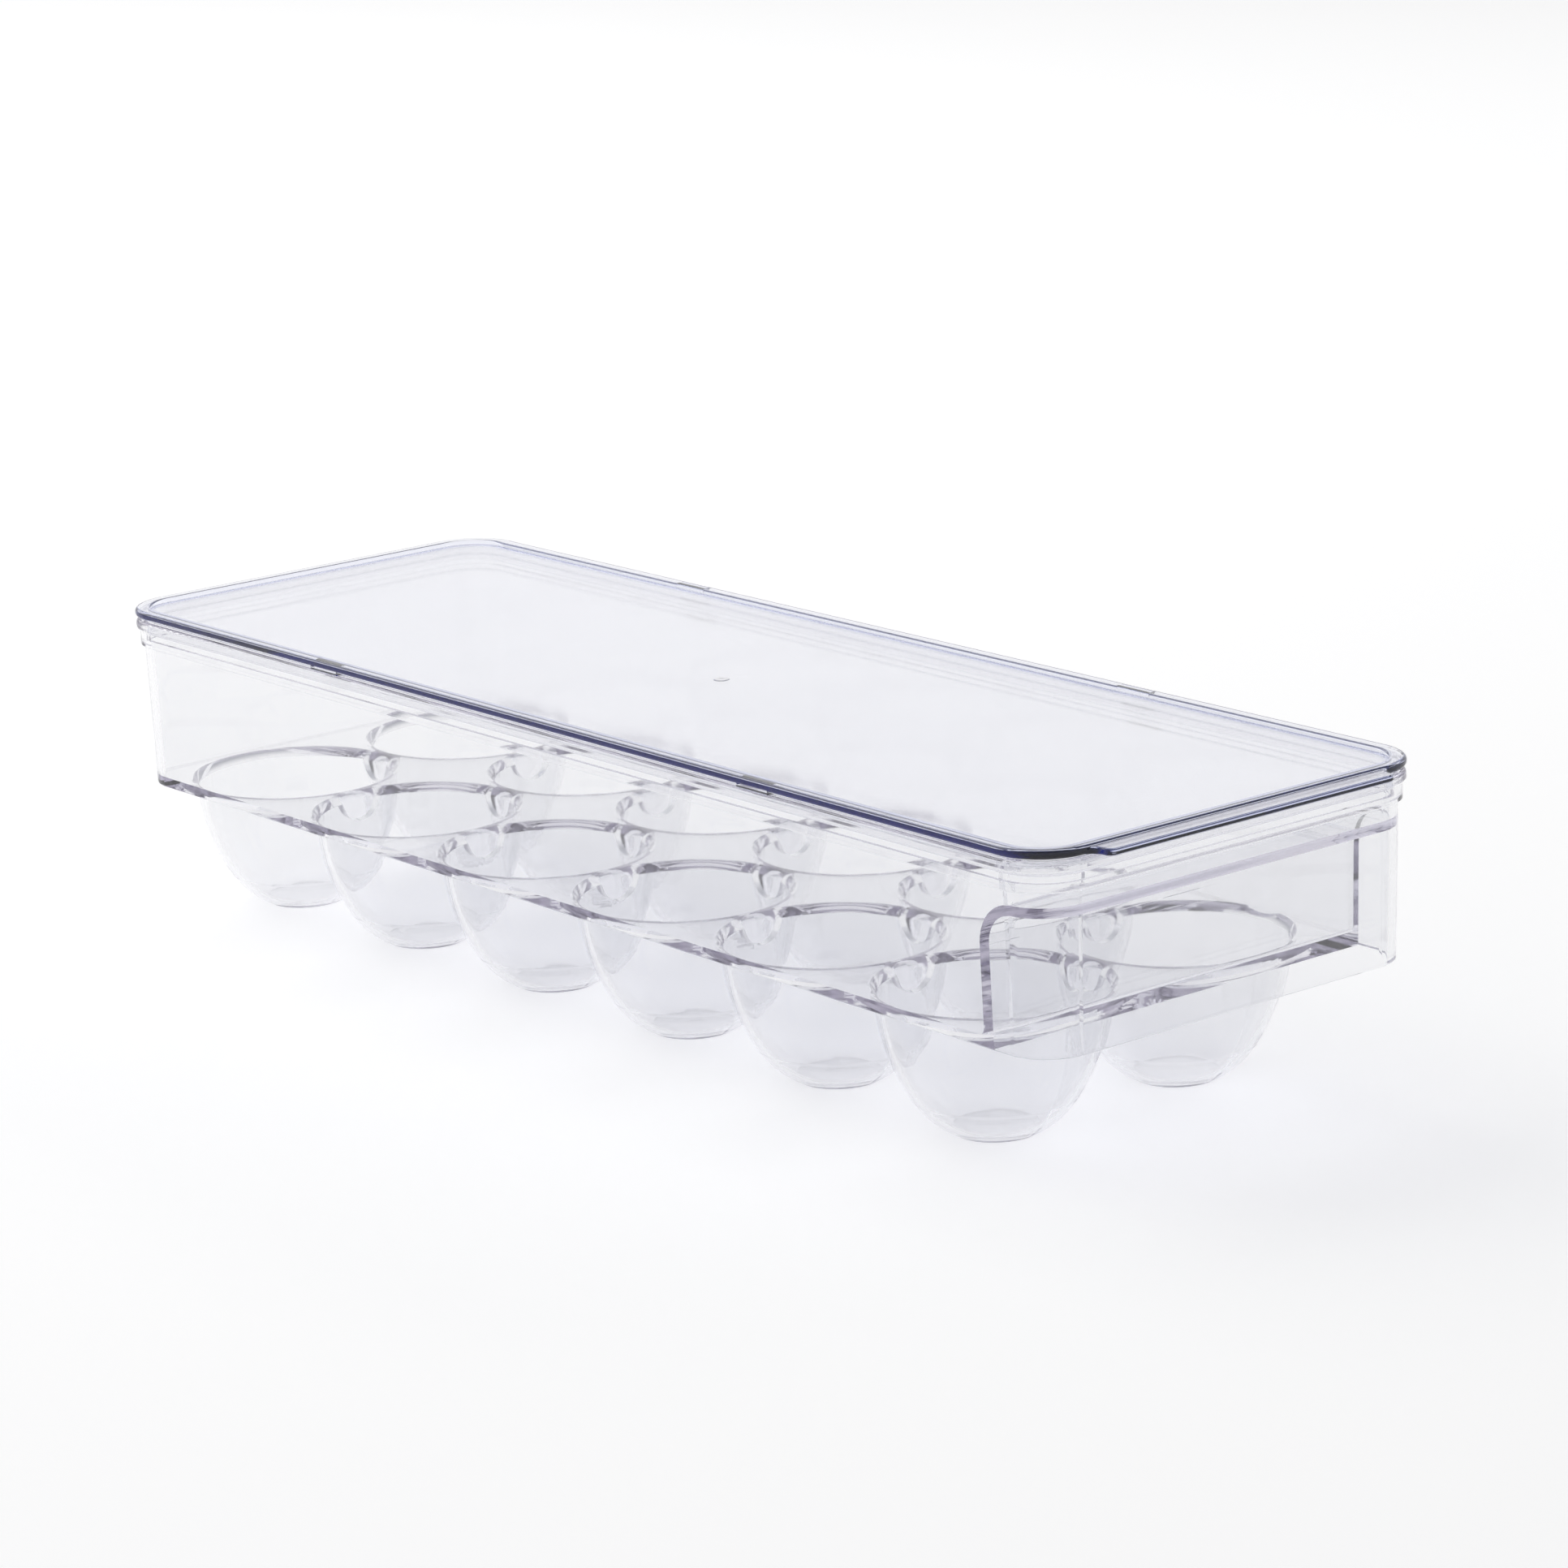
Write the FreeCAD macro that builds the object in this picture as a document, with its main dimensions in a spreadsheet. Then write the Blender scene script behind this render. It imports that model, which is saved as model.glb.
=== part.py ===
"""Egg holder tray: a clear bin with twelve egg cups and a finger pocket, and its lift-off lid.

Frame, in millimetres: X along the tray with the finger pocket at +X, Y across it, Z up.
The origin is under the middle of the whole outline, on the surface that the cups stand on.
Both pieces are single mouldings, so each is one solid.
"""

import FreeCAD, Part
import math
import os
import Sketcher
from FreeCAD import Vector

SIZES = {
    # Egg cups
    "cup_columns": 6,
    "cup_rows": 2,
    "cup_radius": 24.2,  # outside of a cup where it meets the deck
    "cup_gap": 1.6,  # between the outsides of two neighbouring cups
    "cup_depth": 31.2,  # deck top above the feet
    "cup_wall": 1.5,
    "cup_taper": 3.7,  # mouth radius less the radius of the round bottom
    "foot_radius": 9.4,  # flat that a cup stands on
    "rim_rounding": 2.0,
    "web_depth": 7.0,  # solid web that joins two neighbouring cups, below the deck top
    "web_radius": 5.2,  # its round bottom
    "web_width": 12.6,  # at the deck
    # Tray
    "deck_thickness": 2.2,
    "side_gap": 0.0,  # cup outside to the inside of a long wall, at the deck
    "end_gap": 2.9,  # cup outside to the inside of the end wall, at the deck
    "pocket_gap": 2.1,  # cup outside to the tray side of the pocket wall, at the deck
    "pocket_depth": 14.2,  # clear, at the mouth
    "pocket_roof": 26.3,  # underside of the roof above the deck top
    "pocket_wall": 2.8,
    "roof_thickness": 2.1,
    "bend_radius": 7.0,  # pocket side of the bend from pocket wall to roof
    "wall": 1.7,
    "draft": 1.35,  # degrees
    "corner_radius": 10.0,  # outside of the walls, at the deck
    "ledge_height": 31.7,  # outside step below the rim band, above the deck top
    "rim_height": 38.2,  # tray rim above the deck top
    "band_step": 0.9,
    "bead_step": 0.8,
    "bead_height": 2.8,
    "bead_nose": 1.1,
    "edge_break": 0.4,  # rounding of the walls' outer edges
    "foot_blend": 1.5,  # where the pocket wall rises from the deck
    # Lid
    "lid_overhang": 0.1,  # lid edge beyond the tray's bead
    "lid_gap": 0.5,  # height of the rest pads
    "lid_edge": 2.0,
    "lid_recess": 0.9,  # panel top below the lid's rim
    "lid_rim": 3.6,
    "lid_nose": 0.9,
    "lid_crest": 0.7,
    "panel": 1.6,
    "plug_clearance": 0.5,
    "plug_wall": 1.3,
    "plug_depth": 3.4,  # below the tray rim
    "tab_reach": 4.5,
    "tab_inset": 14.5,  # lid side to the tab's side
    "tab_thickness": 1.5,
    "tab_drop": 0.5,  # tab top below the lid's rim
    "tab_blend": 2.2,
    "tab_edge": 0.6,
    "pad_length": 10.0,
    "pad_width": 2.4,
    "pad_spacing": 154.0,
}

os.makedirs("parts", exist_ok=True)
doc = FreeCAD.newDocument("egg_holder_tray")
sheet = doc.addObject("Spreadsheet::Sheet", "Sizes")
for row, (alias, size) in enumerate(SIZES.items(), start=1):
    sheet.set(f"A{row}", alias)
    sheet.set(f"B{row}", str(size))
    sheet.setAlias(f"B{row}", alias)
doc.recompute()

# ---------------------------------------------------------------- shared places, as expressions
S = "Sizes."
OVERCUT = 1  # how far a cutting tool passes the surface that it opens
PITCH = f"(2 * {S}cup_radius + {S}cup_gap)"
ROW_SPAN = f"(({S}cup_columns - 1) * {PITCH})"
ROW_HALF = f"(({S}cup_rows - 1) * {PITCH} / 2)"

DECK_TOP = f"{S}cup_depth"
DECK_BOTTOM = f"({DECK_TOP} - {S}deck_thickness)"
LEDGE = f"({DECK_TOP} + {S}ledge_height)"
INNER_LEDGE = f"({LEDGE} + {S}wall)"
RIM = f"({DECK_TOP} + {S}rim_height)"
BEAD_BOTTOM = f"({RIM} - {S}bead_height)"
ROOF_BOTTOM = f"({DECK_TOP} + {S}pocket_roof)"
ROOF_TOP = f"({ROOF_BOTTOM} + {S}roof_thickness)"
LID_UNDER = f"({RIM} + {S}lid_gap)"
LID_TOP = f"({LID_UNDER} + {S}lid_edge)"

SLOPE = f"tan({S}draft * 1 deg)"
BAND_OUT = f"(({LEDGE} - {DECK_BOTTOM}) * {SLOPE} + {S}band_step)"
BEAD_OUT = f"({BAND_OUT} + {S}bead_step)"
LID_OUT = f"({BEAD_OUT} + {S}lid_overhang)"

# Outside of the walls at the underside of the deck, measured from the first cup's centre along X.
POCKET_REACH = f"({ROW_SPAN} + {S}cup_radius + {S}pocket_gap + {S}pocket_wall)"
WALL_BACK = f"({S}cup_radius + {S}end_gap + {S}wall)"
WALL_FRONT = f"({POCKET_REACH} + {S}pocket_depth + {S}wall)"
WALL_SIDE = f"({ROW_HALF} + {S}cup_radius + {S}side_gap + {S}wall)"
# The origin is halfway between the lid's back edge and the end of its tab.
FIRST_CUP = f"((({WALL_BACK} + {LID_OUT}) - ({WALL_FRONT} + {LID_OUT} + {S}tab_reach)) / 2)"
BACK = f"({FIRST_CUP} - {WALL_BACK})"
FRONT = f"({FIRST_CUP} + {WALL_FRONT})"
POCKET_FACE = f"({FIRST_CUP} + {POCKET_REACH})"
BAND_INSIDE = f"({BAND_OUT} - {S}wall)"
PLUG_OUT = f"({BAND_INSIDE} - {S}plug_clearance)"

# A cup's profile is a round bottom and a wider side arc, tangent to each other, upright at the deck.
BOWL_RADIUS = f"({S}cup_radius - {S}cup_taper)"
BOWL_CENTRE = f"sqrt({BOWL_RADIUS}^2 - {S}foot_radius^2)"
BOWL_RISE = f"({DECK_TOP} - {BOWL_CENTRE})"
SIDE_RADIUS = f"(({S}cup_radius^2 + {BOWL_RISE}^2 - {BOWL_RADIUS}^2) / (2 * {S}cup_taper))"


def value(expression):
    """The number that an expression on the sheet comes to."""
    result = sheet.evalExpression(expression)
    return float(getattr(result, "Value", result))


# ---------------------------------------------------------------- sketch helpers
TINY = 1e-4
ORIGIN = (-1, 1)
UP_AXIS = -2
START, END, CENTRE = 1, 2, 3


def point(x, y):
    return Vector(x, y, 0)


def line(x1, y1, x2, y2):
    return Part.LineSegment(point(x1, y1), point(x2, y2))


def arc(x, y, radius, start, end):
    """An arc about x, y that runs anticlockwise between two angles in degrees."""
    circle = Part.Circle(point(x, y), Vector(0, 0, 1), radius)
    return Part.ArcOfCircle(circle, math.radians(start), math.radians(end))


def shared_end(first, second):
    """Which end of one edge meets which end of the next."""
    pairs = [
        (first_end, second_end, first_point.distanceToPoint(second_point))
        for first_end, first_point in ((START, first.StartPoint), (END, first.EndPoint))
        for second_end, second_point in ((START, second.StartPoint), (END, second.EndPoint))
    ]
    return min(pairs, key=lambda pair: pair[2])[:2]


def outline(name, edges, smooth):
    """A sketch of one closed outline. Joints in smooth, named by their first edge, are tangent."""
    sketch = doc.addObject("Sketcher::SketchObject", name)
    sketch.addGeometry(edges, False)
    for first, edge in enumerate(edges):
        second = (first + 1) % len(edges)
        end, start = shared_end(edge, edges[second])
        kind = "Tangent" if first in smooth else "Coincident"
        sketch.addConstraint(Sketcher.Constraint(kind, first, end, second, start))
    for index, edge in enumerate(edges):
        if isinstance(edge, Part.LineSegment):
            run = edge.EndPoint - edge.StartPoint
            if abs(run.y) < TINY:
                sketch.addConstraint(Sketcher.Constraint("Horizontal", index))
            if abs(run.x) < TINY:
                sketch.addConstraint(Sketcher.Constraint("Vertical", index))
    return sketch


def dimension(sketch, name, kind, *where):
    """Adds a constraint whose last item is an expression, and binds it to that expression."""
    *targets, expression = where
    index = sketch.addConstraint(Sketcher.Constraint(kind, *targets, value(expression)))
    sketch.renameConstraint(index, name)
    sketch.setExpression(f"Constraints.{name}", expression)


def plan_outline(name, grow, radius, height):
    """A rounded rectangle in plan: the outside of the walls at the deck, moved out by grow."""
    back, front, side = f"({BACK} - {grow})", f"({FRONT} + {grow})", f"({WALL_SIDE} + {grow})"
    b, f, w, r = value(back), value(front), value(side), value(radius)
    edges = [
        line(b + r, -w, f - r, -w),
        arc(f - r, -w + r, r, 270, 360),
        line(f, -w + r, f, w - r),
        arc(f - r, w - r, r, 0, 90),
        line(f - r, w, b + r, w),
        arc(b + r, w - r, r, 90, 180),
        line(b, w - r, b, -w + r),
        arc(b + r, -w + r, r, 180, 270),
    ]
    sketch = outline(name, edges, smooth=range(8))
    for edge in (3, 5, 7):
        sketch.addConstraint(Sketcher.Constraint("Equal", 1, edge))
    dimension(sketch, "corner", "Radius", 1, radius)
    dimension(sketch, "back", "DistanceX", 6, START, *ORIGIN, f"-{back}")
    dimension(sketch, "front", "DistanceX", *ORIGIN, 2, START, front)
    dimension(sketch, "near", "DistanceY", 0, START, *ORIGIN, side)
    dimension(sketch, "far", "DistanceY", *ORIGIN, 4, START, side)
    sketch.setExpression("Placement.Base.z", height)
    return sketch


# ---------------------------------------------------------------- solid helpers
UPRIGHT = FreeCAD.Rotation(Vector(1, 0, 0), 90)  # turns a sketch's plane to X and Z
SIDEWAYS = FreeCAD.Rotation(Vector(0, 1, 0), Vector(0, 0, 1), Vector(1, 0, 0))  # and this to Y and Z


def raised(name, sketch, length, direction=Vector(0, 0, 1)):
    solid = doc.addObject("Part::Extrusion", name)
    solid.Base = sketch
    solid.DirMode = "Custom"
    solid.Dir = direction
    solid.Solid = True
    solid.setExpression("LengthFwd", length)
    return solid


def block(name, grow, bottom, top, drafted=False):
    """A plan outline raised from one height to another, widening upwards when drafted."""
    sketch = plan_outline(f"{name}_outline", grow, f"({S}corner_radius + {grow})", bottom)
    solid = raised(name, sketch, f"{top} - {bottom}")
    if drafted:
        solid.setExpression("TaperAngle", f"{S}draft")
    return solid


def fuse(name, *shapes):
    result = doc.addObject("Part::MultiFuse", name)
    result.Shapes = list(shapes)
    result.Refine = True
    return result


def common(name, *shapes):
    result = doc.addObject("Part::MultiCommon", name)
    result.Shapes = list(shapes)
    result.Refine = True
    return result


def cut(name, base, tool):
    result = doc.addObject("Part::Cut", name)
    result.Base = base
    result.Tool = tool
    result.Refine = True
    return result


def rounded(name, base, radius, *heights, within=None):
    """Fillets the edges of base that are level at one of these heights.

    When within is given, only edges closer than that to the middle plane along X are rounded.
    """
    doc.recompute()
    levels = [value(height) for height in heights]
    limit = value(within) + TINY if within else math.inf
    size = value(radius)
    chosen = []
    for number, edge in enumerate(base.Shape.Edges, start=1):
        box = edge.BoundBox
        level = any(max(abs(box.ZMin - z), abs(box.ZMax - z)) < TINY for z in levels)
        if level and max(-box.YMin, box.YMax) < limit:
            chosen.append((number, size, size))
    result = doc.addObject("Part::Fillet", name)
    result.Base = base
    result.Edges = chosen
    return result


# ---------------------------------------------------------------- tray
def tray_walls():
    """The four walls with the rim band and its rounded bead, open at the top and at the bottom."""
    outside = block("wall_outside", "0", DECK_BOTTOM, LEDGE, drafted=True)
    outside = rounded("wall_rounded", outside, f"{S}edge_break", DECK_BOTTOM)
    band = block("band_outside", BAND_OUT, LEDGE, RIM)
    band = rounded("band_rounded", band, f"{S}edge_break", LEDGE)
    bead = block("bead_outside", BEAD_OUT, BEAD_BOTTOM, RIM)
    bead = rounded("bead_rounded", bead, f"{S}bead_nose", RIM, BEAD_BOTTOM)
    inside = block("wall_inside", f"(-{S}wall)", DECK_BOTTOM, INNER_LEDGE, drafted=True)
    band_inside = block("band_inside", BAND_INSIDE, INNER_LEDGE, f"({RIM} + {OVERCUT})")
    full = fuse("walls_full", outside, band, bead)
    return cut("walls", full, fuse("walls_hollow", inside, band_inside))


def tray_floor():
    """The deck, the pocket wall that rises from it, and the pocket's roof, as one bent sheet."""
    thick, bend, blend = value(f"{S}pocket_wall"), value(f"{S}bend_radius"), value(f"{S}foot_blend")
    outer = bend + thick
    back, front, face = value(BACK), value(FRONT), value(POCKET_FACE)
    low, top = value(DECK_BOTTOM), value(DECK_TOP)
    roof, roof_top = value(ROOF_BOTTOM), value(ROOF_TOP)
    edges = [
        line(back, low, face, low),
        line(face, low, face, roof - bend),
        arc(face + bend, roof - bend, bend, 90, 180),
        line(face + bend, roof, front, roof),
        line(front, roof, front, roof_top),
        line(front, roof_top, face + bend, roof_top),
        arc(face + bend, roof_top - outer, outer, 90, 180),
        line(face - thick, roof_top - outer, face - thick, top + blend),
        arc(face - thick - blend, top + blend, blend, 270, 360),
        line(face - thick - blend, top, back, top),
        line(back, top, back, low),
    ]
    sketch = outline("floor_outline", edges, smooth=(1, 2, 5, 6, 7, 8))
    dimension(sketch, "bend", "Radius", 2, f"{S}bend_radius")
    dimension(sketch, "bend_outside", "Radius", 6, f"{S}bend_radius + {S}pocket_wall")
    dimension(sketch, "blend", "Radius", 8, f"{S}foot_blend")
    dimension(sketch, "back", "DistanceX", 10, START, *ORIGIN, f"-{BACK}")
    dimension(sketch, "front", "DistanceX", *ORIGIN, 4, START, FRONT)
    dimension(sketch, "face", "DistanceX", *ORIGIN, 1, START, POCKET_FACE)
    dimension(sketch, "tray_side", "DistanceX", *ORIGIN, 7, START, f"{POCKET_FACE} - {S}pocket_wall")
    dimension(sketch, "deck_bottom", "DistanceY", *ORIGIN, 0, START, DECK_BOTTOM)
    dimension(sketch, "deck_top", "DistanceY", *ORIGIN, 9, START, DECK_TOP)
    dimension(sketch, "roof_bottom", "DistanceY", *ORIGIN, 3, START, ROOF_BOTTOM)
    dimension(sketch, "roof_top", "DistanceY", *ORIGIN, 5, START, ROOF_TOP)
    sketch.Placement = FreeCAD.Placement(Vector(0, 0, 0), UPRIGHT)
    sketch.setExpression("Placement.Base.y", f"{WALL_SIDE} + {BEAD_OUT}")
    sheet_solid = raised("floor_sheet", sketch, f"2 * ({WALL_SIDE} + {BEAD_OUT})", Vector(0, -1, 0))
    middle = block("wall_middle", f"(-{S}wall / 2)", DECK_BOTTOM, LEDGE, drafted=True)
    return common("floor", sheet_solid, middle)


def cup_outline():
    """Half of a cup's outside, from the axis to the foot."""
    radius, low, centre = value(f"{S}cup_radius"), value(BOWL_RADIUS), value(BOWL_CENTRE)
    side, top, foot = value(SIDE_RADIUS), value(DECK_TOP), value(f"{S}foot_radius")
    meet = math.degrees(math.atan2(centre - top, side - radius))
    stand = math.degrees(math.atan2(-centre, foot))
    edges = [
        line(0, 0, 0, top),
        line(0, top, radius, top),
        arc(radius - side, top, side, meet, 0),
        arc(0, centre, low, stand, meet),
        line(foot, 0, 0, 0),
    ]
    sketch = outline("cup_outside_outline", edges, smooth=(2,))
    sketch.addConstraint(Sketcher.Constraint("Coincident", 0, START, *ORIGIN))
    dimension(sketch, "side", "Radius", 2, SIDE_RADIUS)
    dimension(sketch, "bottom", "Radius", 3, BOWL_RADIUS)
    dimension(sketch, "top", "DistanceY", *ORIGIN, 1, START, DECK_TOP)
    dimension(sketch, "side_centre", "DistanceY", *ORIGIN, 2, CENTRE, DECK_TOP)
    dimension(sketch, "bottom_centre", "DistanceY", *ORIGIN, 3, CENTRE, BOWL_CENTRE)
    sketch.addConstraint(Sketcher.Constraint("PointOnObject", 3, CENTRE, 0))
    sketch.Placement = FreeCAD.Placement(Vector(0, 0, 0), UPRIGHT)
    return sketch


def hollow_outline():
    """Half of a cup's hollow, from its floor to the rounded rim, carried on above the deck."""
    wall, rim = value(f"{S}cup_wall"), value(f"{S}rim_rounding")
    radius, low, centre = value(f"{S}cup_radius") - wall, value(BOWL_RADIUS) - wall, value(BOWL_CENTRE)
    side, top = value(SIDE_RADIUS) - wall, value(DECK_TOP)
    meet = math.degrees(math.atan2(centre - top, side - radius))
    stand = math.degrees(math.atan2(wall - centre, math.sqrt(low**2 - (centre - wall) ** 2)))
    neck = math.degrees(math.asin(rim / side))
    x, z = radius - side * (1 - math.cos(math.radians(neck))), top - rim
    edges = [
        line(0, wall, 0, top + OVERCUT),
        line(0, top + OVERCUT, x + rim, top + OVERCUT),
        line(x + rim, top + OVERCUT, x + rim, top),
        arc(x + rim, z, rim, 90, 180),
        arc(radius - side, top, side, meet, -neck),
        arc(0, centre, low, stand, meet),
        line(low * math.cos(math.radians(stand)), wall, 0, wall),
    ]
    sketch = outline("cup_inside_outline", edges, smooth=(3, 4))
    dimension(sketch, "rim", "Radius", 3, f"{S}rim_rounding")
    dimension(sketch, "side", "Radius", 4, f"{SIDE_RADIUS} - {S}cup_wall")
    dimension(sketch, "bottom", "Radius", 5, f"{BOWL_RADIUS} - {S}cup_wall")
    dimension(sketch, "floor", "DistanceY", *ORIGIN, 0, START, f"{S}cup_wall")
    dimension(sketch, "above", "DistanceY", *ORIGIN, 1, START, f"{DECK_TOP} + {OVERCUT}")
    dimension(sketch, "deck", "DistanceY", *ORIGIN, 2, END, DECK_TOP)
    dimension(sketch, "side_centre", "DistanceY", *ORIGIN, 4, CENTRE, DECK_TOP)
    dimension(sketch, "bottom_centre", "DistanceY", *ORIGIN, 5, CENTRE, BOWL_CENTRE)
    sketch.addConstraint(Sketcher.Constraint("PointOnObject", 0, START, UP_AXIS))
    sketch.addConstraint(Sketcher.Constraint("PointOnObject", 5, CENTRE, 0))
    sketch.addConstraint(Sketcher.Constraint("Vertical", 2, END, 3, CENTRE))
    sketch.Placement = FreeCAD.Placement(Vector(0, 0, 0), UPRIGHT)
    return sketch


def cup_grid(name, sketch):
    """The sketch turned into a solid at every cup's place."""
    solids = []
    for column in range(SIZES["cup_columns"]):
        for side in range(SIZES["cup_rows"]):
            solid = doc.addObject("Part::Revolution", f"{name}_{column}_{side}")
            solid.Source = sketch
            solid.Axis = Vector(0, 0, 1)
            solid.Angle = 360
            solid.Solid = True
            solid.setExpression("Placement.Base.x", f"{FIRST_CUP} + {column} * {PITCH}")
            solid.setExpression("Placement.Base.y", f"{side} * {PITCH} - {ROW_HALF}")
            solids.append(solid)
    return solids


def web_outline(name):
    """A web's section: a round bottom and two sides that lean out to the deck."""
    half, middle = f"({S}web_width / 2)", f"({DECK_TOP} - {S}web_depth + {S}web_radius)"
    r, w, low, high = value(f"{S}web_radius"), value(half), value(middle), value(DECK_TOP)
    reach = math.hypot(w, high - low)
    lean = math.degrees(math.atan2(high - low, w) - math.acos(r / reach))
    x, z = r * math.cos(math.radians(lean)), low + r * math.sin(math.radians(lean))
    edges = [
        line(-w, high, w, high),
        line(w, high, x, z),
        arc(0, low, r, 180 - lean, 360 + lean),
        line(-x, z, -w, high),
    ]
    sketch = outline(name, edges, smooth=(1, 2))
    sketch.addConstraint(Sketcher.Constraint("PointOnObject", 2, CENTRE, UP_AXIS))
    dimension(sketch, "bottom", "Radius", 2, f"{S}web_radius")
    dimension(sketch, "middle", "DistanceY", *ORIGIN, 2, CENTRE, middle)
    dimension(sketch, "top", "DistanceY", *ORIGIN, 0, START, DECK_TOP)
    dimension(sketch, "left", "DistanceX", 0, START, *ORIGIN, half)
    dimension(sketch, "right", "DistanceX", *ORIGIN, 0, END, half)
    return sketch


def webs():
    """Webs that run along both rows of cups and across every pair, under the deck."""
    along = web_outline("web_along_outline")
    along.Placement = FreeCAD.Placement(Vector(0, 0, 0), SIDEWAYS)
    across = web_outline("web_across_outline")
    across.Placement = FreeCAD.Placement(Vector(0, 0, 0), UPRIGHT)
    bars = []
    for side in range(SIZES["cup_rows"]):
        bar = raised(f"web_row_{side}", along, ROW_SPAN, Vector(1, 0, 0))
        bar.setExpression("Placement.Base.x", FIRST_CUP)
        bar.setExpression("Placement.Base.y", f"{side} * {PITCH} - {ROW_HALF}")
        bars.append(bar)
    for column in range(SIZES["cup_columns"]):
        bar = raised(f"web_pair_{column}", across, f"2 * {ROW_HALF}", Vector(0, 1, 0))
        bar.setExpression("Placement.Base.x", f"{FIRST_CUP} + {column} * {PITCH}")
        bar.setExpression("Placement.Base.y", f"-{ROW_HALF}")
        bars.append(bar)
    return bars


def tray():
    """Walls, deck, finger pocket and cups, joined as one moulding."""
    outsides = cup_grid("cup_outside", cup_outline())
    hollows = cup_grid("cup_inside", hollow_outline())
    solid = fuse("nest_full", tray_floor(), *outsides, *webs())
    nest = cut("nest", solid, fuse("nest_hollows", *hollows))
    return fuse("tray", tray_walls(), nest)


# ---------------------------------------------------------------- lid
def lid_tab():
    """The finger tab at the front, with rounded sides that run into the lid's edge."""
    edge, reach = f"({FRONT} + {LID_OUT})", f"({FRONT} + {LID_OUT} + {S}tab_reach)"
    half = f"({WALL_SIDE} + {LID_OUT} - {S}tab_inset)"
    root = f"({edge} - {S}lid_rim / 2)"
    blend = f"min({S}tab_blend; {S}tab_reach / 2 - 0.05)"
    e, x, w, r, i = value(edge), value(reach), value(half), value(blend), value(root)
    edges = [
        line(i, w + r, i, -w - r),
        line(i, -w - r, e, -w - r),
        arc(e + r, -w - r, r, 90, 180),
        line(e + r, -w, x - r, -w),
        arc(x - r, -w + r, r, 270, 360),
        line(x, -w + r, x, w - r),
        arc(x - r, w - r, r, 0, 90),
        line(x - r, w, e + r, w),
        arc(e + r, w + r, r, 180, 270),
        line(e, w + r, i, w + r),
    ]
    sketch = outline("tab_outline", edges, smooth=range(2, 8))
    for corner in (4, 6, 8):
        sketch.addConstraint(Sketcher.Constraint("Equal", 2, corner))
    for corner, lid_edge in ((2, 1), (8, 9)):
        sketch.addConstraint(Sketcher.Constraint("Horizontal", corner, CENTRE, lid_edge, START))
    dimension(sketch, "blend", "Radius", 2, blend)
    dimension(sketch, "root", "DistanceX", *ORIGIN, 0, START, root)
    dimension(sketch, "edge", "DistanceX", *ORIGIN, 1, END, edge)
    dimension(sketch, "far_edge", "DistanceX", *ORIGIN, 9, START, edge)
    dimension(sketch, "reach", "DistanceX", *ORIGIN, 5, START, reach)
    dimension(sketch, "near", "DistanceY", 3, START, *ORIGIN, half)
    dimension(sketch, "far", "DistanceY", *ORIGIN, 7, START, half)
    top = f"({LID_TOP} - {S}tab_drop)"
    bottom = f"({top} - {S}tab_thickness)"
    sketch.setExpression("Placement.Base.z", bottom)
    plate = raised("tab_plate", sketch, f"{S}tab_thickness")
    return rounded("tab", plate, f"{S}tab_edge", top, bottom)


def rest_pads():
    """Four small ribs under the lid's edge that stand on the tray's rim."""
    inner = f"({WALL_SIDE} + {BAND_INSIDE} + {S}lid_overhang)"
    middle = f"(({BACK} + {FRONT}) / 2)"
    pads = []
    for end in (-1, 1):
        start = f"{middle} + {end} * {S}pad_spacing / 2 - {S}pad_length / 2"
        for side in (-1, 1):
            pad = doc.addObject("Part::Box", f"pad_{end + 1}_{side + 1}")
            pad.setExpression("Length", f"{S}pad_length")
            pad.setExpression("Width", f"{S}pad_width")
            pad.setExpression("Height", f"{S}lid_gap + {S}lid_edge / 4")  # runs up into the lid
            pad.setExpression("Placement.Base.x", start)
            pad.setExpression("Placement.Base.y", f"-{inner} - {S}pad_width" if side < 0 else inner)
            pad.setExpression("Placement.Base.z", RIM)
            pads.append(pad)
    return pads


def lid():
    """Panel with a raised rounded rim, a plug skirt underneath, a finger tab and rest pads."""
    panel_top = f"({LID_TOP} - {S}lid_recess)"
    panel_bottom = f"({panel_top} - {S}panel)"
    plug_bottom = f"({RIM} - {S}plug_depth)"
    plate = block("lid_plate", LID_OUT, LID_UNDER, LID_TOP)
    plate = rounded("lid_plate_rounded", plate, f"{S}lid_nose", LID_TOP, LID_UNDER)
    plug = block("lid_plug", PLUG_OUT, plug_bottom, f"({LID_UNDER} + {S}lid_edge / 4)")
    body = fuse("lid_body", plate, plug)
    recess = block("lid_recess", f"({LID_OUT} - {S}lid_rim)", panel_top, f"({LID_TOP} + {OVERCUT})")
    hollow = block("lid_hollow", f"({PLUG_OUT} - {S}plug_wall)", plug_bottom, panel_bottom)
    shell = cut("lid_shell", body, fuse("lid_voids", recess, hollow))
    inner_rim = f"({WALL_SIDE} + {LID_OUT} - {S}lid_rim)"
    shell = rounded("lid_crested", shell, f"{S}lid_crest", LID_TOP, within=inner_rim)
    return fuse("lid", shell, lid_tab(), *rest_pads())


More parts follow.
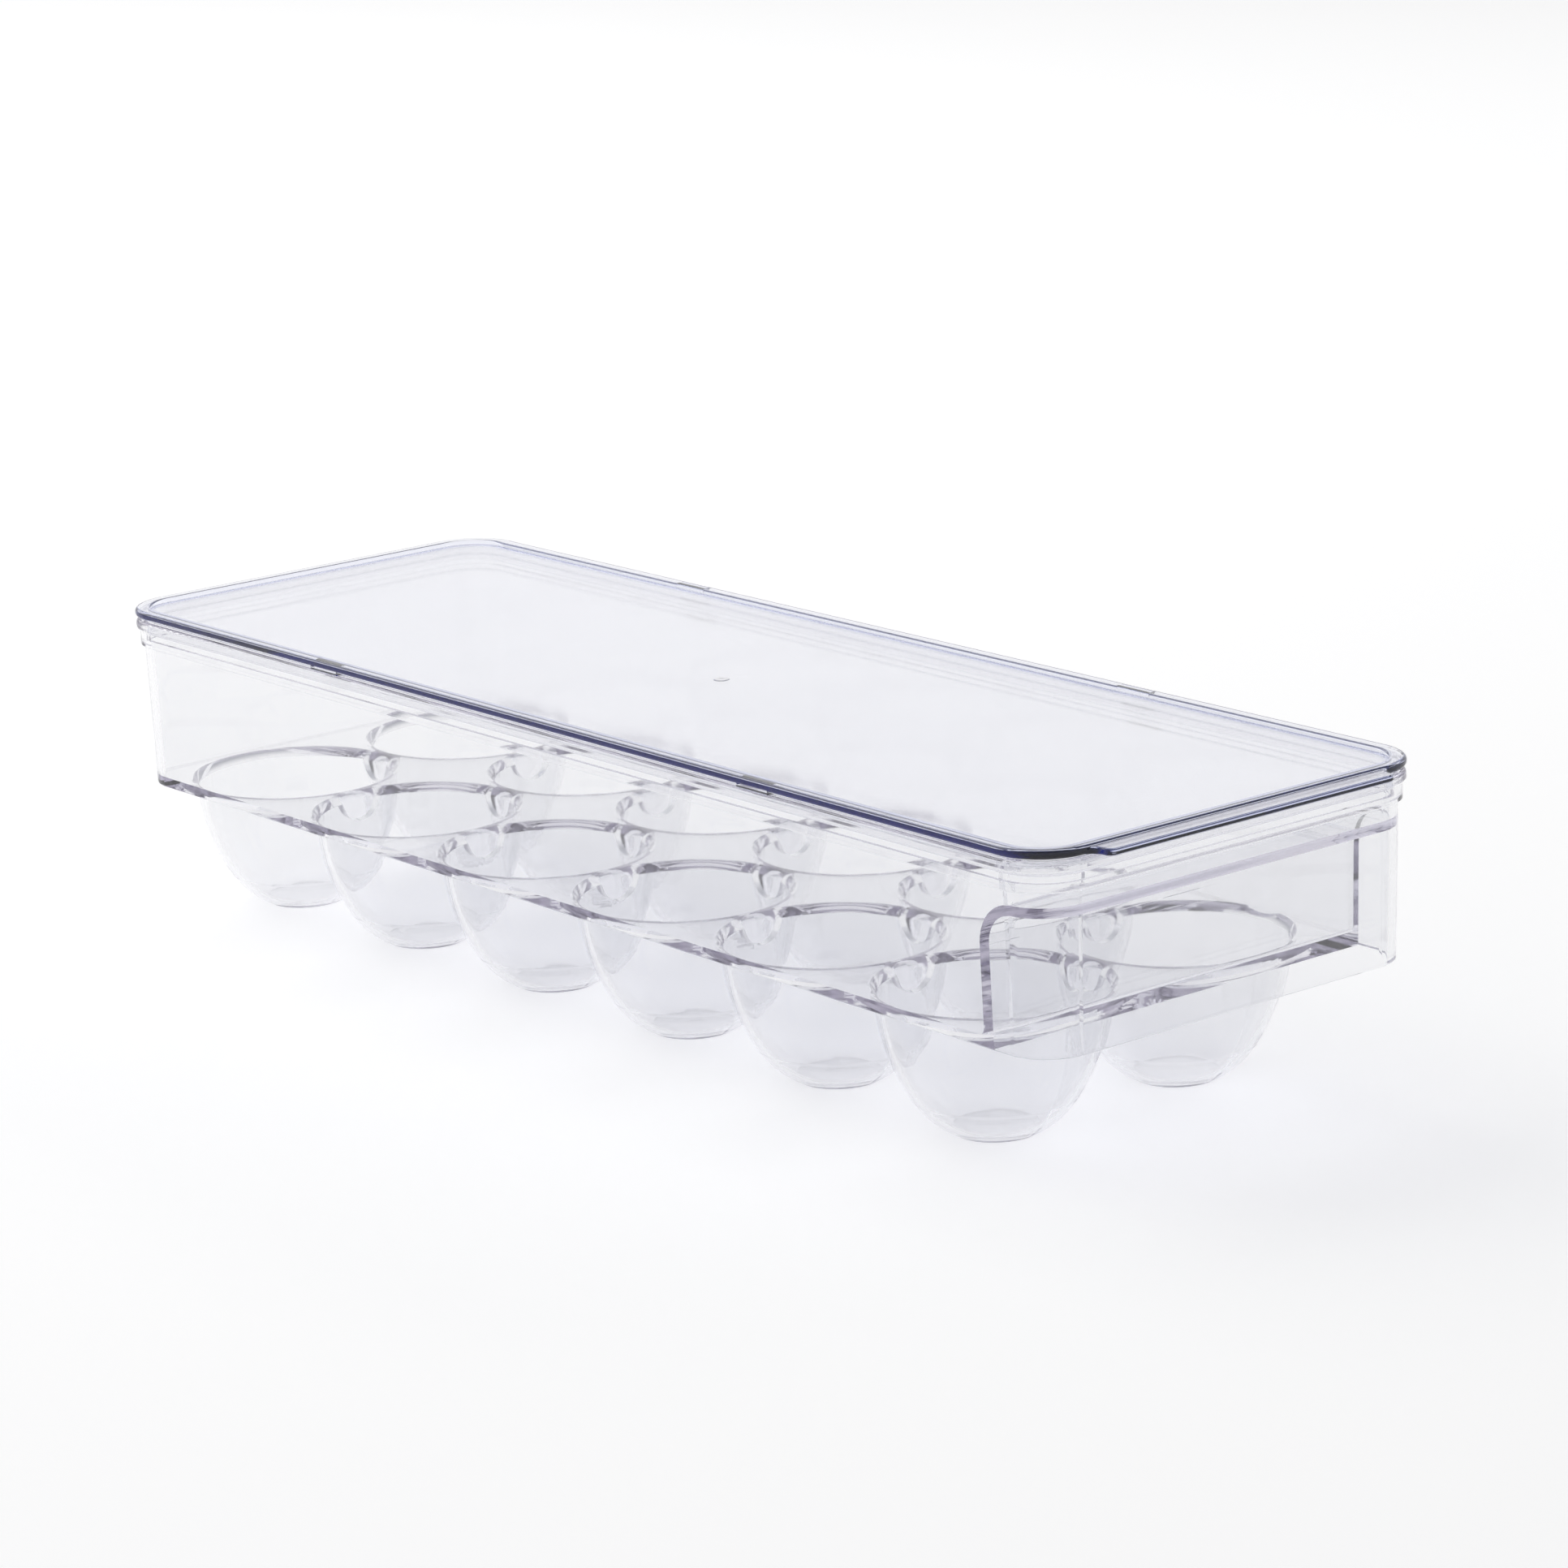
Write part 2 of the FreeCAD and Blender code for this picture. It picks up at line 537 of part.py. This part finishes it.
# ---------------------------------------------------------------- build, check and write
pieces = {"tray": tray(), "lid": lid()}
doc.recompute()
for thing in doc.Objects:
    if {"Invalid", "Error"} & set(thing.State):
        raise RuntimeError(f"{thing.Name} did not compute: {thing.State}")
for name, piece in pieces.items():
    piece.Label = name
    shape = piece.Shape
    if shape.isNull() or not shape.isValid() or len(shape.Solids) != 1:
        raise RuntimeError(f"{name} is not one valid solid")
    shape.exportStep(os.path.join("parts", f"{name}.step"))
    box = shape.optimalBoundingBox(False, False)
    size = f"{box.XLength:.1f} x {box.YLength:.1f} x {box.ZLength:.1f} mm"
    print(f"{name}: {size}, {shape.Volume / 1000:.1f} cm3")
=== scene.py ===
"""Looks of a clear moulded egg holder tray with a lift-off lid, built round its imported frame."""

import logging
import math
from collections.abc import Callable
from dataclasses import dataclass
from enum import Enum

import bpy
from mathutils import Matrix, Vector


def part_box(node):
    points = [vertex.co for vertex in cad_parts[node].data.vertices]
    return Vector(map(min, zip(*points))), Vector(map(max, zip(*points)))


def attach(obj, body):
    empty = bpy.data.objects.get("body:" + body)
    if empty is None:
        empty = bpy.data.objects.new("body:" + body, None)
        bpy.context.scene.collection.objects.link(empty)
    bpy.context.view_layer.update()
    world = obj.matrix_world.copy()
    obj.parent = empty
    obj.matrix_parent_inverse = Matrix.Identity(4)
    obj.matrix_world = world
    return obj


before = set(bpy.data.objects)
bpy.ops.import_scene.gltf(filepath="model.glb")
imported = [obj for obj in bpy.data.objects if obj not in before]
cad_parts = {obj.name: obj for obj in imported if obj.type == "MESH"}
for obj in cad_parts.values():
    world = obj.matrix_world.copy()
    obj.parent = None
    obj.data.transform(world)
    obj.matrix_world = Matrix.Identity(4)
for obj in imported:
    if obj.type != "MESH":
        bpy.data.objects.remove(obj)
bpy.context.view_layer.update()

LOG = logging.getLogger("egg_holder_tray")
MM = 0.001
WHITE = (1.0, 1.0, 1.0, 1.0)
DOWNWARDS = -0.5  # a face whose normal's Z is under this looks down
SHARP_ANGLE = math.radians(30)  # an edge sharper than this is rounded
SMOOTH_ANGLE = math.radians(40)  # faces that meet at less than this are shaded as one


# ---------------------------------------------------------------- finishes
class Sum(Enum):
    """What a Math node works out."""

    PRODUCT = "MULTIPLY"
    TOTAL = "ADD"
    IS_OVER = "GREATER_THAN"


@dataclass(frozen=True)
class NodeSheet:
    """A node tree with short ways to add and join nodes.

    Attributes:
        tree: the empty tree to fill.
    """

    tree: bpy.types.NodeTree

    def add(self, kind: str, **settings: object) -> bpy.types.Node:
        """Adds a node.

        Args:
            kind: Blender's name for the node's type.
            **settings: the node's own properties.

        Returns:
            The new node.
        """
        node = self.tree.nodes.new(kind)
        for key, setting in settings.items():
            setattr(node, key, setting)
        return node

    def join(self, source: bpy.types.NodeSocket, target: bpy.types.NodeSocket) -> None:
        """Links one socket to another."""
        self.tree.links.new(source, target)

    def maths(self, operation: Sum, *values: bpy.types.NodeSocket | float) -> bpy.types.NodeSocket:
        """Adds a Math node.

        Args:
            operation: what the node works out.
            *values: numbers or sockets, in the node's order.

        Returns:
            The node's result.
        """
        node = self.add("ShaderNodeMath", operation=operation.value)
        for socket, number in zip(node.inputs, values):
            if isinstance(number, bpy.types.NodeSocket):
                self.join(number, socket)
            else:
                socket.default_value = number
        return node.outputs[0]

    def noise(self, vector: bpy.types.NodeSocket, scale: float, detail: float) -> bpy.types.NodeSocket:
        """Adds a Noise Texture.

        Args:
            vector: where it is read.
            scale: features per metre.
            detail: how many finer layers it has.

        Returns:
            Its value, from 0 to 1.
        """
        node = self.add("ShaderNodeTexNoise")
        node.inputs["Scale"].default_value = scale
        node.inputs["Detail"].default_value = detail
        self.join(vector, node.inputs["Vector"])
        return node.outputs["Fac"]


@dataclass(frozen=True)
class MouldedSkin:
    """The skin that a polished mould leaves: slow flow waves, a faint haze and a few hairline rubs.

    Attributes:
        clouds_per_m: how close the hazy patches lie.
        cloud_detail: how many finer layers they have.
        rubs_per_m: how close the rubs lie, before they are stretched.
        rub_detail: how many finer layers they have.
        rub_stretch: how much each axis is squeezed, which draws the rubs out along X.
        rub_turn_deg: how far the rubs turn from X.
        rub_floor: noise above this is a rub.
        waves_per_m: how close the flow waves lie.
        wave_detail: how many finer layers they have.
    """

    clouds_per_m: float = 38.0
    cloud_detail: float = 3.0
    rubs_per_m: float = 210.0
    rub_detail: float = 2.0
    rub_stretch: tuple[float, float, float] = (1.0, 14.0, 6.0)
    rub_turn_deg: float = 24.0
    rub_floor: float = 0.74
    waves_per_m: float = 16.0
    wave_detail: float = 1.0

    def group(self) -> bpy.types.ShaderNodeTree:
        """Builds the node group, or finds it when it is there.

        Returns:
            A group with polish, haze, waves and rubs as inputs, and roughness and height as outputs.
        """
        name = "moulded_surface"
        if name in bpy.data.node_groups:
            return bpy.data.node_groups[name]
        group = bpy.data.node_groups.new(name, "ShaderNodeTree")
        for label in ("Polish", "Haze", "Waves", "Rubs"):
            group.interface.new_socket(label, in_out="INPUT", socket_type="NodeSocketFloat")
        for label in ("Roughness", "Height"):
            group.interface.new_socket(label, in_out="OUTPUT", socket_type="NodeSocketFloat")
        sheet = NodeSheet(group)
        given = sheet.add("NodeGroupInput")
        result = sheet.add("NodeGroupOutput")
        place = sheet.add("ShaderNodeTexCoord").outputs["Object"]

        haze = sheet.maths(Sum.PRODUCT, self.clouds(sheet, place), given.outputs["Haze"])
        rubs = sheet.maths(Sum.PRODUCT, self.rubs(sheet, place), given.outputs["Rubs"])
        marks = sheet.maths(Sum.TOTAL, haze, rubs)
        roughness = sheet.maths(Sum.TOTAL, given.outputs["Polish"], marks)
        sheet.join(roughness, result.inputs["Roughness"])

        flow = sheet.noise(place, self.waves_per_m, self.wave_detail)
        height = sheet.maths(Sum.PRODUCT, flow, given.outputs["Waves"])
        sheet.join(height, result.inputs["Height"])
        return group

    def clouds(self, sheet: NodeSheet, place: bpy.types.NodeSocket) -> bpy.types.NodeSocket:
        """Draws the hazy patches."""
        return sheet.noise(place, self.clouds_per_m, self.cloud_detail)

    def rubs(self, sheet: NodeSheet, place: bpy.types.NodeSocket) -> bpy.types.NodeSocket:
        """Draws the hairline rubs.

        Args:
            sheet: the group's sheet.
            place: the point on the piece.

        Returns:
            1 on a rub and 0 beside it.
        """
        stretched = sheet.add("ShaderNodeMapping")
        stretched.inputs["Scale"].default_value = self.rub_stretch
        stretched.inputs["Rotation"].default_value = (0.0, 0.0, math.radians(self.rub_turn_deg))
        sheet.join(place, stretched.inputs["Vector"])
        hairs = sheet.noise(stretched.outputs["Vector"], self.rubs_per_m, self.rub_detail)
        return sheet.maths(Sum.IS_OVER, hairs, self.rub_floor)


@dataclass(frozen=True)
class ClearPlastic:
    """A clear moulding plastic with a tint that shows along its edges.

    Attributes:
        name: the material's name.
        ior: how strongly it bends light.
        tint: colour that a long way through it turns white light to.
        depth_per_m: how quickly it takes that colour.
        clearness: share of each colour that one wall lets through.
        polish: roughness of its smoothest surface.
        haze: how much roughness the cloudy patches add.
        rubs: how much roughness the hairline rubs add.
        waves_mm: height of the flow waves.
        shadow: share of each colour of a lamp's light that one surface lets into its shadow.
    """

    name: str
    ior: float
    tint: tuple[float, float, float]
    depth_per_m: float
    clearness: tuple[float, float, float]
    polish: float
    haze: float
    rubs: float
    waves_mm: float
    shadow: tuple[float, float, float] = (0.88, 0.88, 0.885)

    def material(self) -> bpy.types.Material:
        """Builds the material.

        Returns:
            The material, with glass on its surface and absorption inside.
        """
        made = bpy.data.materials.new(self.name)
        made.use_nodes = True
        made.node_tree.nodes.clear()
        sheet = NodeSheet(made.node_tree)
        for_lamps = sheet.add("ShaderNodeBsdfTransparent")
        for_lamps.inputs["Color"].default_value = (*self.shadow, 1.0)
        ray = sheet.add("ShaderNodeLightPath")
        choice = sheet.add("ShaderNodeMixShader")
        sheet.join(ray.outputs["Is Shadow Ray"], choice.inputs["Fac"])
        sheet.join(self.glass(sheet), choice.inputs[1])
        sheet.join(for_lamps.outputs["BSDF"], choice.inputs[2])

        inside = sheet.add("ShaderNodeVolumeAbsorption")
        inside.inputs["Color"].default_value = (*self.tint, 1.0)
        inside.inputs["Density"].default_value = self.depth_per_m
        target = sheet.add("ShaderNodeOutputMaterial")
        sheet.join(choice.outputs["Shader"], target.inputs["Surface"])
        sheet.join(inside.outputs["Volume"], target.inputs["Volume"])
        return made

    def glass(self, sheet: NodeSheet) -> bpy.types.NodeSocket:
        """Builds the clear surface with the mould's skin on it.

        Args:
            sheet: the material's sheet.

        Returns:
            The surface's shader.
        """
        skin = sheet.add("ShaderNodeGroup", node_tree=MouldedSkin().group())
        skin.inputs["Polish"].default_value = self.polish
        skin.inputs["Haze"].default_value = self.haze
        skin.inputs["Rubs"].default_value = self.rubs
        skin.inputs["Waves"].default_value = self.waves_mm
        bump = sheet.add("ShaderNodeBump")
        bump.inputs["Strength"].default_value = 1.0
        bump.inputs["Distance"].default_value = MM
        sheet.join(skin.outputs["Height"], bump.inputs["Height"])

        body = sheet.add("ShaderNodeBsdfPrincipled")
        body.inputs["Base Color"].default_value = (*self.clearness, 1.0)
        body.inputs["Transmission Weight"].default_value = 1.0
        body.inputs["IOR"].default_value = self.ior
        sheet.join(skin.outputs["Roughness"], body.inputs["Roughness"])
        sheet.join(bump.outputs["Normal"], body.inputs["Normal"])
        return body.outputs["BSDF"]


TRAY_PLASTIC = ClearPlastic(
    name="tray_clear",
    ior=1.50,
    tint=(0.28, 0.22, 0.42),
    depth_per_m=9.0,
    clearness=(0.942, 0.945, 0.952),
    polish=0.012,
    haze=0.03,
    rubs=0.05,
    waves_mm=0.02,
)
LID_PLASTIC = ClearPlastic(
    name="lid_clear",
    ior=1.50,
    tint=(0.03, 0.14, 0.67),
    depth_per_m=50.0,
    clearness=(0.995, 0.985, 0.962),
    polish=0.012,
    haze=0.06,
    rubs=0.10,
    waves_mm=0.02,
)


# ---------------------------------------------------------------- the object
def start_piece(name: str) -> bpy.types.Object:
    """Names the primitive that was just added and puts its place into its mesh.

    Args:
        name: the piece's name.

    Returns:
        The piece, at the origin.
    """
    piece = bpy.context.object
    piece.name = name
    piece.data.name = name
    bpy.ops.object.transform_apply(location=True, rotation=True, scale=True)
    return piece


def pick_faces(piece: bpy.types.Object, wanted: Callable[[bpy.types.MeshPolygon], bool]) -> None:
    """Selects the faces of a piece that pass a test, and nothing else.

    Args:
        piece: the piece to select on, in object mode.
        wanted: takes a face and says whether it is selected.
    """
    bpy.ops.object.mode_set(mode="OBJECT")
    for face in piece.data.polygons:
        face.select = wanted(face)
    for edge in piece.data.edges:
        edge.select = False
    for corner in piece.data.vertices:
        corner.select = False
    bpy.ops.object.mode_set(mode="EDIT")
    bpy.ops.mesh.select_mode(type="FACE")


@dataclass
class GateMark:
    """The low disc with a dimple that a mould's gate leaves under a flat panel.

    Attributes:
        name: the piece's name.
        body: the body it rides on.
        centre: its middle, on the panel's underside, in metres.
        finish: the plastic's material.
        slot: a name for that plastic's slot; not used.
        radius_mm: of the disc.
        height_mm: how far it stands out.
        dimple_mm: radius of the dimple.
        flat_share: how much of the ring round the dimple stays flat, before it slopes in.
        dimple_share: the dimple's depth, as a share of the height.
        rounding_share: the rounding of the edges, as a share of the height.
        sides: of the disc.
        rounding_steps: of each edge.
    """

    name: str
    body: str
    centre: Vector
    finish: bpy.types.Material
    slot: str
    radius_mm: float = 1.8
    height_mm: float = 0.16
    dimple_mm: float = 0.6
    flat_share: float = 0.35
    dimple_share: float = 0.6
    rounding_share: float = 0.4
    sides: int = 48
    rounding_steps: int = 3

    def build(self) -> bpy.types.Object:
        """Models the mark.

        Returns:
            The finished piece.
        """
        height = self.height_mm * MM
        bpy.ops.object.select_all(action="DESELECT")
        bpy.ops.mesh.primitive_cylinder_add(
            vertices=self.sides,
            radius=self.radius_mm * MM,
            depth=height,
            location=self.centre - Vector((0, 0, height / 2)),
        )
        piece = start_piece(self.name)
        pick_faces(piece, lambda face: face.normal.z < DOWNWARDS)
        ring = (self.radius_mm - self.dimple_mm) * MM
        bpy.ops.mesh.inset(thickness=ring * self.flat_share)
        bpy.ops.mesh.inset(thickness=ring * (1.0 - self.flat_share))
        bpy.ops.transform.translate(value=(0, 0, height * self.dimple_share))
        bpy.ops.object.mode_set(mode="OBJECT")
        soften = piece.modifiers.new("soften", "BEVEL")
        soften.width = height * self.rounding_share
        soften.segments = self.rounding_steps
        soften.limit_method = "ANGLE"
        soften.angle_limit = SHARP_ANGLE
        bpy.ops.object.modifier_apply(modifier=soften.name)
        bpy.ops.object.shade_smooth_by_angle(angle=SMOOTH_ANGLE)
        piece.data.materials.append(self.finish)
        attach(piece, self.body)
        return piece


@dataclass
class Tray:
    """The cup tray: one clear moulding.

    Attributes:
        finish: the plastic it is made of.
    """

    finish: ClearPlastic = TRAY_PLASTIC

    def build(self) -> list[bpy.types.Object]:
        """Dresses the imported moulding.

        Returns:
            The piece.
        """
        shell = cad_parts["tray"]
        material = self.finish.material()
        shell.data.materials.clear()
        shell.data.materials.append(material)
        return [shell]


@dataclass
class Lid:
    """The lift-off lid: one clear moulding.

    Attributes:
        finish: the plastic it is made of.
        tab_reach_m: how far the finger tab stands out at the front.
        panel_underside_m: the panel's underside below the lid's top.
    """

    finish: ClearPlastic = LID_PLASTIC
    tab_reach_m: float = 0.0045
    panel_underside_m: float = 0.0025

    def build(self) -> list[bpy.types.Object]:
        """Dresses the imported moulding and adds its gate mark.

        Returns:
            The pieces.
        """
        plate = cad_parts["lid"]
        material = self.finish.material()
        plate.data.materials.clear()
        plate.data.materials.append(material)
        low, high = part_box("lid")
        middle = (low + high) / 2
        centre = Vector((middle.x - self.tab_reach_m / 2, middle.y, high.z - self.panel_underside_m))
        gate = GateMark("lid_gate_mark", "lid", centre, material, "lid_clear").build()
        return [plate, gate]


# ---------------------------------------------------------------- studio
@dataclass(frozen=True)
class Lamp:
    """A soft rectangular lamp that faces the object and doesn't glare through it.

    Attributes:
        name: the lamp's name.
        place: where it hangs, in metres.
        size: its width and height, in metres.
        power: in watts.
    """

    name: str
    place: tuple[float, float, float]
    size: tuple[float, float]
    power: float

    def hang(self) -> bpy.types.Object:
        """Hangs the lamp.

        Returns:
            The lamp.
        """
        data = bpy.data.lights.new(self.name, "AREA")
        data.shape = "RECTANGLE"
        data.size, data.size_y = self.size
        data.energy = self.power
        lamp = bpy.data.objects.new(self.name, data)
        lamp.location = self.place
        lamp.rotation_mode = "QUATERNION"
        lamp.rotation_quaternion = Vector(self.place).to_track_quat("Z", "Y")
        lamp.visible_transmission = False
        bpy.context.scene.collection.objects.link(lamp)
        return lamp


KEY_LAMP = Lamp("key", place=(-1.7, -0.4, 1.5), size=(2.2, 2.2), power=28.0)
RIM_LAMP = Lamp("rim", place=(0.3, 2.0, 1.2), size=(1.4, 0.3), power=4.0)


@dataclass
class Studio:
    """Pale floor, soft light and the camera.

    Attributes:
        aim: the point that the camera looks at, in metres.
        azimuth_deg: how far round the camera stands, from the front towards +X.
        elevation_deg: how far it looks down.
        roll_deg: how far it leans.
        distance_m: from the camera to the aim.
        lens_mm: its focal length.
        sensor_mm: its sensor's width.
        sight_m: the nearest and farthest things that it sees.
        floor_size_m: the floor's width and length.
        floor_drop_m: how far the floor lies under the feet.
        floor_colour: the paper's colour.
        floor_roughness: how dull the paper is.
        floor_shine: how much it mirrors.
        floor_glow: how much light it gives of its own.
        walls_end: height, from 0 at eye level to 1 overhead, where the white walls start to darken.
        ceiling_start: height where the ceiling's colour is reached.
        ceiling_colour: what glossy and clear surfaces see overhead.
        sky_on_floor: how much of the white room's light falls on dull surfaces.
        clear_bounces: how many walls a ray may cross, because the moulding is many walls deep.
        other_bounces: for mirrored rays and for lamps' shadows.
    """

    aim: tuple[float, float, float] = (0.0052, 0.0104, 0.0461)
    azimuth_deg: float = 51.5
    elevation_deg: float = 14.62
    roll_deg: float = -2.32
    distance_m: float = 1.1716
    lens_mm: float = 121.6
    sensor_mm: float = 36.0
    sight_m: tuple[float, float] = (0.05, 50.0)
    floor_size_m: float = 12.0
    floor_drop_m: float = 0.0002
    floor_colour: tuple[float, float, float] = (0.93, 0.93, 0.935)
    floor_roughness: float = 0.9
    floor_shine: float = 0.1
    floor_glow: float = 0.35
    walls_end: float = 0.45
    ceiling_start: float = 0.8
    ceiling_colour: tuple[float, float, float] = (0.42, 0.43, 0.47)
    sky_on_floor: float = 0.33
    clear_bounces: int = 128
    other_bounces: int = 64

    def camera(self) -> bpy.types.Object:
        """Places the camera.

        Returns:
            The camera.
        """
        a, e, r = (math.radians(x) for x in (self.azimuth_deg, self.elevation_deg, self.roll_deg))
        back = Vector((math.sin(a) * math.cos(e), -math.cos(a) * math.cos(e), math.sin(e)))
        level = (-back).cross(Vector((0, 0, 1))).normalized()
        upright = level.cross(-back)
        right = math.cos(r) * level + math.sin(r) * upright
        up = -math.sin(r) * level + math.cos(r) * upright
        data = bpy.data.cameras.new("camera")
        data.lens = self.lens_mm
        data.sensor_width = self.sensor_mm
        data.clip_start, data.clip_end = self.sight_m
        camera = bpy.data.objects.new("camera", data)
        bpy.context.scene.collection.objects.link(camera)
        turn = Matrix((right, up, back)).transposed().to_4x4()
        camera.matrix_world = Matrix.Translation(Vector(self.aim) + back * self.distance_m) @ turn
        bpy.context.scene.camera = camera
        return camera

    def floor(self) -> bpy.types.Object:
        """Lays the floor.

        Returns:
            The floor.
        """
        bpy.ops.object.select_all(action="DESELECT")
        bpy.ops.mesh.primitive_plane_add(size=self.floor_size_m, location=(0, 0, -self.floor_drop_m))
        floor = bpy.context.object
        floor.name = "floor"
        made = bpy.data.materials.new("floor_paper")
        made.use_nodes = True
        shader = made.node_tree.nodes["Principled BSDF"]
        shader.inputs["Base Color"].default_value = (*self.floor_colour, 1.0)
        shader.inputs["Roughness"].default_value = self.floor_roughness
        shader.inputs["Specular IOR Level"].default_value = self.floor_shine
        shader.inputs["Emission Color"].default_value = WHITE
        shader.inputs["Emission Strength"].default_value = self.floor_glow
        floor.data.materials.append(made)
        return floor

    def world(self) -> None:
        """Puts up white walls with a darker ceiling, and plain white light for dull surfaces."""
        world = bpy.data.worlds.new("studio")
        bpy.context.scene.world = world
        world.use_nodes = True
        world.node_tree.nodes.clear()
        sheet = NodeSheet(world.node_tree)
        direction = sheet.add("ShaderNodeTexCoord").outputs["Generated"]
        split = sheet.add("ShaderNodeSeparateXYZ")
        sheet.join(direction, split.inputs[0])
        ramp = sheet.add("ShaderNodeValToRGB")
        walls, ceiling = ramp.color_ramp.elements
        walls.position = self.walls_end
        walls.color = WHITE
        ceiling.position = self.ceiling_start
        ceiling.color = (*self.ceiling_colour, 1.0)
        sheet.join(split.outputs["Z"], ramp.inputs["Fac"])
        seen = sheet.add("ShaderNodeBackground")
        sheet.join(ramp.outputs["Color"], seen.inputs["Color"])
        on_floor = sheet.add("ShaderNodeBackground")
        on_floor.inputs["Color"].default_value = WHITE
        on_floor.inputs["Strength"].default_value = self.sky_on_floor
        ray = sheet.add("ShaderNodeLightPath")
        choice = sheet.add("ShaderNodeMixShader")
        sheet.join(ray.outputs["Is Diffuse Ray"], choice.inputs["Fac"])
        sheet.join(seen.outputs["Background"], choice.inputs[1])
        sheet.join(on_floor.outputs["Background"], choice.inputs[2])
        target = sheet.add("ShaderNodeOutputWorld")
        sheet.join(choice.outputs["Shader"], target.inputs["Surface"])

    def build(self) -> None:
        """Sets up the whole studio."""
        self.camera()
        self.floor()
        self.world()
        for lamp in (KEY_LAMP, RIM_LAMP):
            lamp.hang()
        scene = bpy.context.scene
        scene.view_settings.view_transform = "Standard"
        scene.cycles.max_bounces = self.clear_bounces
        scene.cycles.transmission_bounces = self.clear_bounces
        scene.cycles.glossy_bounces = self.other_bounces
        scene.cycles.transparent_max_bounces = self.other_bounces


def main() -> None:
    """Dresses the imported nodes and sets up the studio."""
    Studio().build()
    for assembly in (Tray(), Lid()):
        for piece in assembly.build():
            LOG.info("%s: %d faces", piece.name, len(piece.data.polygons))


if __name__ == "__main__":
    logging.basicConfig(level=logging.INFO)
    main()
